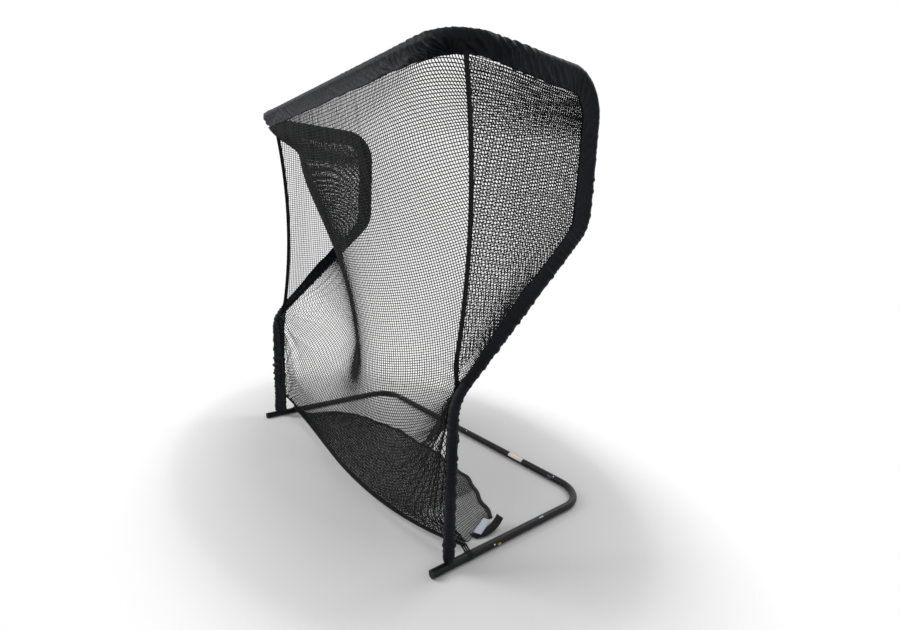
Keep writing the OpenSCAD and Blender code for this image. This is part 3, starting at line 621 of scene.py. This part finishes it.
cords += [np.stack([vs * 0 + end, vs], 1) for end in (-1, 1)]
for name, low_v, high_v in (("upper", 0, 0.32), ("middle", 0.32, 0.62), ("lower", 0.62, 1.001)):
    lines = []
    for uv in cords:
        held = np.append(np.isfinite(uv).all(1) & (uv[:, 1] >= low_v - 0.002) & (uv[:, 1] <= high_v), False)
        starts, stops = np.flatnonzero(held & ~np.roll(held, 1)), np.flatnonzero(held & ~np.roll(held, -1))
        for first, last in zip(starts, stops):
            run = uv[first:last + 1]
            length = tape(net_at(*run.T))
            if length[-1] > net_cell / 2:
                knots = np.linspace(0, length[-1], int(length[-1] / net_cell) + 2)
                points = net_skin(np.interp(knots, length, run[:, 0]), np.interp(knots, length, run[:, 1]))
                points[1:-1] += chance.normal(0, knot_stray, points[1:-1].shape)
                lines.append(points)
    net = netting(f"main_net_{name}_mesh", lines, cord_r)
    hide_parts("main_net")

# Wing nets
# Flat panels of the same netting that close the two sides, cut square, sewn into the side sleeves all round and
# to a webbing strap along the front edge.
wing_cord_r = 0.0021
strap_w, strap_low, strap_high = 0.025, 0.86, 2.05
strap_foot, strap_head, strap_bow = -0.397, -0.413, 0.052


def strap_y(z):
    """How far back a wing's strap stands at height z."""
    t = (z - strap_low) / (strap_high - strap_low)
    return mix(strap_foot, strap_head, t) + strap_bow * 4 * t * (1 - t)


def strap_x(z):
    """How far out a wing's strap stands at height z; its lower end is drawn in under the sleeve."""
    inboard = mix(0.060, 0.039, (z - strap_low) / (strap_high - strap_low))
    return half_w - inboard + 0.030 * ease((strap_low + 0.03 - z) / 0.1)


def inside(points, outline):
    """Which points of a plane lie inside a closed outline."""
    x, y = points[:, :1], points[:, 1:]
    a, b = outline, np.roll(outline, -1, axis=0)
    spans = (a[:, 1] > y) != (b[:, 1] > y)
    climb = np.where(b[:, 1] == a[:, 1], 1e-9, b[:, 1] - a[:, 1])
    cross = a[:, 0] + (y - a[:, 1]) * (b[:, 0] - a[:, 0]) / climb
    return (spans & (x < cross)).sum(1) % 2 == 1


strap_zs = np.linspace(strap_high + 0.01, strap_low, 60)
outline = np.concatenate([skirt_edge, np.stack([strap_y(strap_zs) + 0.006, strap_zs], 1)])
(low_y, low_z), (high_y, high_z) = outline.min(0), outline.max(0)
wing_lines = []
tilt = math.radians(4)
across, up = np.array([math.cos(tilt), -math.sin(tilt)]), np.array([math.sin(tilt), math.cos(tilt)])
middle = (outline.min(0) + outline.max(0)) / 2
ticks = np.arange(-0.8, 0.8, net_cell / 4)
for way, step in ((across, up), (up, across)):
    for place in np.arange(-0.79, 0.8, net_cell):
        run = middle + step * place + way * ticks[:, None]
        held = inside(run, outline)
        starts = np.flatnonzero(np.diff(np.concatenate([[0], held.astype(int)])) == 1)
        stops = np.flatnonzero(np.diff(np.concatenate([held.astype(int), [0]])) == -1)
        for first, last in zip(starts, stops):
            if last - first > 3:
                wing_lines.append(run[np.unique(np.append(np.arange(first, last, 4), last))])
for side, sign in (("left", -1), ("right", 1)):
    cords = []
    for some in wing_lines:
        y, z = some.T
        behind = ease((y - strap_y(z)) / 0.2)
        billow = 0.004 * np.sin(y * 9 + z * 4) * behind * ease((high_y - y) / 0.15)
        x = mix(strap_x(z), half_w, behind) + billow
        cords.append(np.stack([sign * x, y, z], 1) + chance.normal(0, knot_stray, (len(y), 3)))
    net = netting(f"wing_net_{side}_mesh", cords, wing_cord_r)
    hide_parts("wing_net_" + side)
    after = np.roll(outline, -1, axis=0)

# Webbing on the net's edges
# Woven polyester webbing, 25 mm wide: a strap down the front edge of each wing, the front edge of the main net
# and the bound rear edge of the apron, each sewn on with two rows of lock stitch.
webbing, tree, shader, follow = blank_material("woven_black_webbing")
# Ribs of 1.8 mm run across it; the selvedge and the ribs catch a little light.
rib_mm, fuzz_mm = 1.8, 4.0
ribs = add(tree, "ShaderNodeTexWave", {"Vector": follow["UV"], "Scale": wave_scale(rib_mm), "Distortion": 0.4},
           bands_direction="Y")
fuzz = add(tree, "ShaderNodeTexNoise", {"Vector": follow["UV"], "Scale": 1000 / fuzz_mm, "Detail": 4.0})
colour = add(tree, "ShaderNodeValToRGB", {"Fac": fuzz.outputs["Fac"]}, ((0.3, "#08090a"), (0.7, "#111214")))
bump = add(tree, "ShaderNodeBump", {"Height": ribs.outputs["Fac"], "Strength": 0.5, "Distance": 0.0006})
give(tree, shader, {"Base Color": colour.outputs["Color"], "Normal": bump.outputs[0], "Roughness": 0.7,
                    "Specular IOR Level": 0.15, "Sheen Weight": 0.03})
web_thick, row_off, row_up = 0.002, 0.0095, 0.0011


def strip(name, line, wide, thick, width, depth, finish):
    """A flat band with rounded edges along a line of points, wide and thick in the given ways."""
    edge, half = depth / 2, width / 2
    flat = half - edge * 0.4
    rim = [(-flat, -edge), (0, -edge), (flat, -edge), (half, 0), (flat, edge), (0, edge), (-flat, edge), (-half, 0)]
    line = np.asarray(line, float)
    wide, thick = (np.broadcast_to(np.asarray(a, float), line.shape) for a in (wide, thick))
    rings = np.stack([line + wide * a + thick * b for a, b in rim], 1)
    made = shell(name, rings, closed_ends=True)
    made.data.materials.append(finish)
    return made


def sewn(name, node, line, wide, thick):
    """A length of the edge webbing and the places of its two rows of stitches."""
    band = strip(name, line, wide, thick, strap_w, web_thick, webbing)
    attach(band, "frame")
    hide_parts(node)
    for off in (-row_off, row_off):
        for face in (-row_up, row_up):
            webbing_rows.append(line + np.array(wide) * off + np.array(thick) * face)


webbing_rows = []
hem_us = np.linspace(-1, 1, 181)
hem_line = net_at(hem_us, np.ones_like(hem_us)) - [0, 0, strand_half + web_thick / 2 + soft_gap]
sewn("front_hem_webbing", "front_hem", hem_line, (0, 1, 0), (0, 0, 1))
apron_hw, apron_z = 0.837 * half_w, 0.004


def apron_back(x):
    """How far back the apron's wavy rear edge lies."""
    mm = x * 1000
    return (upright_y + 0.605 - 0.205 * (np.abs(x) / apron_hw) ** 2.6 + 0.009 * np.sin(np.radians(mm * 0.9))
            + 0.005 * np.sin(np.radians(mm * 2.3 + 40)))


xs = np.linspace(-apron_hw, apron_hw, 161)
sewn("apron_hem_webbing", "apron_hem", np.stack([xs, apron_back(xs), 0 * xs + apron_z], 1), (0, 1, 0),
     (0, 0, 1))
for side, sign in (("left", -1), ("right", 1)):
    zs = np.linspace(strap_low - 0.09, strap_high + 0.02, 90)
    sewn(f"wing_strap_{side}_webbing", "wing_strap_" + side,
         np.stack([sign * strap_x(zs), strap_y(zs), zs], 1), (0, 1, 0), (-1, 0, 0))

# Lock stitches
# Bonded black polyester thread in rows of 4 mm stitches: one row shuts each sleeve's skirt on either face, and
# two rows hold each length of webbing.
stitch_tree, stitch_sockets, given = line_tree("stitches_along_lines", ("Stitch pitch", "Float"),
                                               ("Stitch length", "Float"), ("Thread radius", "Float"))
line = add(stitch_tree, "GeometryNodeMeshToCurve", {"Mesh": given["Geometry"]})
dots = add(stitch_tree, "GeometryNodeResampleCurve", {"Curve": line.outputs[0], "Length": given["Stitch pitch"]},
           mode="LENGTH")
thread = add(stitch_tree, "GeometryNodeMeshCylinder",
             {"Vertices": 5, "Radius": given["Thread radius"], "Depth": given["Stitch length"]})
lie = add(stitch_tree, "FunctionNodeAlignRotationToVector",
          {"Vector": add(stitch_tree, "GeometryNodeInputTangent").outputs[0]}, axis="Z")
laid = add(stitch_tree, "GeometryNodeInstanceOnPoints",
           {"Points": dots.outputs[0], "Instance": thread.outputs["Mesh"], "Rotation": lie.outputs[0]})
end_tree(stitch_tree, given, laid)
sewing, tree, shader, follow = blank_material("bonded_polyester_thread")
# A slightly paler, smoother black than the cloth, so that the rows just show.
ply_mm = 1.5
ply = add(tree, "ShaderNodeTexNoise", {"Vector": follow["Object"], "Scale": 1000 / ply_mm, "Detail": 2.0})
colour = add(tree, "ShaderNodeValToRGB", {"Fac": ply.outputs["Fac"]}, ((0.3, "#1b1c21"), (0.7, "#2a2b31")))
give(tree, shader, {"Base Color": colour.outputs["Color"], "Roughness": 0.45, "Specular IOR Level": 0.3})
for name, rows, slot in (("sleeve_stitches", seam_lines, "sleeve"),
                         ("webbing_stitches", webbing_rows, "webbing")):
    stitches = along_lines(name, rows, stitch_tree, {
        stitch_sockets["Stitch pitch"]: 0.006, stitch_sockets["Stitch length"]: 0.0042,
        stitch_sockets["Thread radius"]: 0.0005, stitch_sockets["Material"]: sewing})
    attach(stitches, "frame")


# Apron
# The end of the net turned back along the floor: two layers of netting, one square and one lying askew that
# stops short of the right side, so that balls don't run under it.
def apron_at(u, v):
    """The apron: u across, v from the front edge back."""
    front = net_at(0.97 * u, np.ones_like(u))
    x = apron_hw * u
    back_y = apron_back(x) - strap_w / 2 - soft_gap
    under = front[..., 2] - 2 * strand_half - web_thick - 3 * soft_gap
    return np.stack([mix(front[..., 0], x, v), mix(front[..., 1], back_y, v),
                     mix(under, apron_z, ease(v / 0.34))], -1)


def apron_grid(cols, rows):
    """Points on the apron: rows evenly spaced down its middle, and columns evenly along each row."""
    fine = 900
    fine_u, fine_v = np.linspace(-1, 1, fine), np.linspace(0, 1, fine)
    run = tape(apron_at(np.zeros(fine), fine_v))
    grid = []
    for v in np.interp(np.linspace(0, run[-1], rows + 1), run, fine_v):
        run = tape(apron_at(fine_u, np.full(fine, v)))
        row_u = np.interp(np.linspace(0, run[-1], cols + 1), run, fine_u)
        grid.append(apron_at(row_u, np.full(cols + 1, v)))
    return np.array(grid)


apron_cord_r, ripple, askew_part = 0.0014, 0.0022, 0.74
layers = []
for cols, rows, rise_up, askew in ((118, 34, 0.0, False), (82, 24, 0.0052, True)):
    grid = apron_grid(cols, rows)
    x, y = grid[..., 0], grid[..., 1]
    grid[..., 2] += rise_up + ripple * (1 + np.sin(x * 23 + rise_up * 900) * np.sin(y * 31 + x * 7))
    grid[1:-1, 1:-1, :2] += chance.normal(0, 2 * knot_stray, grid[1:-1, 1:-1, :2].shape)
    if askew:
        for k in range(-rows + 1, cols):
            i = np.arange(max(0, -k), min(rows, cols - k) + 1)
            for some in (grid[i, i + k], grid[i, cols - i - k]):
                some = some[some[:, 0] < askew_part * apron_hw]
                if len(some) > 1:
                    layers.append(some)
    else:
        layers += [*grid, *grid.transpose(1, 0, 2)]
apron = netting("apron_net_mesh", layers, apron_cord_r)
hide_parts("apron_net")

# Corner ties
# Flat black elastic, wound three times round each foot tube and up through the corner of the net's front edge.
# It is braided over rubber, so fine ribs run along it.
elastic, tree, shader, follow = blank_material("black_braided_elastic")
rib_mm = 1.2
ribs = add(tree, "ShaderNodeTexWave", {"Vector": follow["UV"], "Scale": wave_scale(rib_mm)}, bands_direction="X")
colour = add(tree, "ShaderNodeValToRGB", {"Fac": ribs.outputs["Fac"]}, ((0.2, "#08090a"), (0.9, "#131416")))
bump = add(tree, "ShaderNodeBump", {"Height": ribs.outputs["Fac"], "Strength": 0.4, "Distance": 0.0004})
give(tree, shader, {"Base Color": colour.outputs["Color"], "Normal": bump.outputs[0], "Roughness": 0.75,
                    "Specular IOR Level": 0.2})
band_w, band_thick, turn_pitch, turn_r = 0.008, 0.0008, 0.011, tube_r + 0.0007
floor_tube_z = tube_r + 0.00095
peak = net_at(np.array([0.975]), np.array([1.0]))[0][2] - strand_half - web_thick - 2 * soft_gap - 0.0005
inset = half_w - net_at(np.array([1.0]), np.array([1.0]))[0][0] + 0.009
for side, sign in (("left", -1), ("right", 1)):
    for i in (-1, 0, 1):
        angle = np.radians(np.linspace(-70, 250, 40))
        loop = [(-turn_r * math.sin(a), -turn_r * math.cos(a)) for a in angle]
        line = [(-inset + 0.004, peak - floor_tube_z)] + loop + [(-inset - 0.004, peak - floor_tube_z)]
        line = np.array([(sign * (half_w + a), foot_y + i * turn_pitch, floor_tube_z + b) for a, b in line])
        way = unit(np.gradient(line, axis=0))
        band = strip(f"corner_tie_{side}_turn_{i + 2}", line, (0, 1, 0), np.cross(way, (0, 1, 0)), band_w,
                     band_thick, elastic)
        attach(band, "frame")
        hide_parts("corner_tie_" + side)

# Loose strap and label
# A tail of wider webbing left free beside the apron's right rear corner, its end bent up, and a blank white woven
# label that lies on the tail and along the apron's edge.
t = np.linspace(0, 1, 28)
tail_w, tail_thick, label_w, label_thick = 0.046, 0.0018, 0.040, 0.0006
corner_back = float(apron_back(np.array(apron_hw)))
tail_line = np.stack([apron_hw + 0.060 + 0.080 * t * (1 - t), mix(upright_y + 0.231, corner_back + 0.004, t),
                      apron_z + 0.0035 + 0.038 * t * t], 1)
tail = strip("loose_strap_webbing", tail_line, (1, 0, 0), (0, 0, 1), tail_w, tail_thick, webbing)
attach(tail, "frame")
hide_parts("loose_strap")
woven, tree, shader, follow = blank_material("white_woven_label")
# Dull white polyester in a twill, whose slanting threads give it a slightly blue grain.
thread_mm = 0.9
thread = add(tree, "ShaderNodeTexWave", {"Vector": follow["UV"], "Scale": wave_scale(thread_mm)},
             bands_direction="DIAGONAL")
colour = add(tree, "ShaderNodeValToRGB", {"Fac": thread.outputs["Fac"]}, ((0.0, "#b4bcc4"), (1.0, "#cbd3db")))
give(tree, shader, {"Base Color": colour.outputs["Color"], "Roughness": 0.8})
tag_line = np.stack([apron_hw + mix(0.068, 0.010, t), mix(upright_y + 0.252, corner_back - 0.034, t),
                     apron_z + 0.013 + 0 * t], 1)
tag = strip("blank_label", tag_line, unit(np.array([0.9, 0.43, 0])), (0, 0, 1), label_w, label_thick, woven)
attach(tag, "frame")
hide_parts("care_tag")

# Stickers
# Plain coated-paper stickers on the base tubes, with nothing printed on them: a pale band on the rear tube, and
# small coloured spots that pair the tubes when the frame is put together. The pale bluish spot on top of the right
# side tube is no sticker but a painted highlight, drawn the same way. They are stuck on flat round the tube.
paper_thick, skin = 0.00015, tube_r + 0.0001
rear_y = 1.067 / 2 - tube_r
across_tube, along_tube, edge_noise_mm = 14, 8, 12
along_x, along_y = np.array([1.0, 0, 0]), np.array([0, 1.0, 0])
for name, centre, way, out, length, arc, colour, edge_colour in (
        ("rear_tube_band", (0.510, rear_y), along_x, (0, -0.55, 0.84), 0.115, 100, "#f1e4dc", "#b56a58"),
        ("foot_spot", (half_w, -0.162), along_y, (0.95, 0, -0.08), 0.017, 34, "#c8a437", "#b28e2b"),
        ("rear_corner_spot", (0.790, rear_y), along_x, (0, -0.9, 0.3), 0.030, 50, "#4a3a4a", "#6b5c70"),
        # side_spot is a painted highlight: a pale glint on top of the right side tube, not a sticker
        ("side_spot", (half_w, 0.134), along_y, (0.35, 0, 0.95), 0.030, 20, "#a9b3bb", "#98a2aa")):
    centre, out = np.array([*centre, floor_tube_z]), unit(np.array(out, float))
    over = np.cross(way, out)
    turn = np.radians(np.linspace(-arc / 2, arc / 2, across_tube + 1))
    bow = skin * (out * np.cos(turn)[:, None] + over * np.sin(turn)[:, None])
    rows = [centre + way * d + bow for d in np.linspace(-length / 2, length / 2, along_tube + 1)]
    row = across_tube + 1
    faces = [(i * row + j, i * row + j + 1, (i + 1) * row + j + 1, (i + 1) * row + j)
             for i in range(along_tube) for j in range(across_tube)]
    mesh = bpy.data.meshes.new(name)
    mesh.from_pydata(np.concatenate(rows).tolist(), [], faces)
    mesh.polygons.foreach_set("use_smooth", [True] * len(faces))
    layer = mesh.uv_layers.new(name="cut")
    uv = [((k // row) / along_tube, (k % row) / across_tube) for face in faces for k in face]
    layer.data.foreach_set("uv", np.array(uv, np.float32).ravel())
    made = bpy.data.objects.new(name, mesh)
    scene.collection.objects.link(made)
    # Coated paper: a soft shine, and a second colour along one edge across the tube, broken up by noise; on the side
    # tube's painted highlight the whole mark, edge included, is painted light.
    paper, tree, shader, follow = blank_material("coated_sticker_paper_" + name)
    rim = add(tree, "ShaderNodeSeparateXYZ", {0: follow["UV"]})
    edge_noise = add(tree, "ShaderNodeTexNoise", {"Vector": follow["Object"], "Scale": 1000 / edge_noise_mm, "Detail": 4.0})
    level = add(tree, "ShaderNodeMath", {0: edge_noise.outputs["Fac"], 1: 0.25, 2: rim.outputs["Y"]},
                operation="MULTIPLY_ADD")
    faded = add(tree, "ShaderNodeValToRGB", {"Fac": level.outputs[0]},
                ((0.16, edge_colour), (0.34, colour), (1.0, colour)))
    give(tree, shader, {"Base Color": faded.outputs["Color"], "Roughness": 0.5})
    made.data.materials.append(paper)
    wall = made.modifiers.new("paper", "SOLIDIFY")
    wall.thickness, wall.offset = paper_thick, 1
    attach(made, "frame")
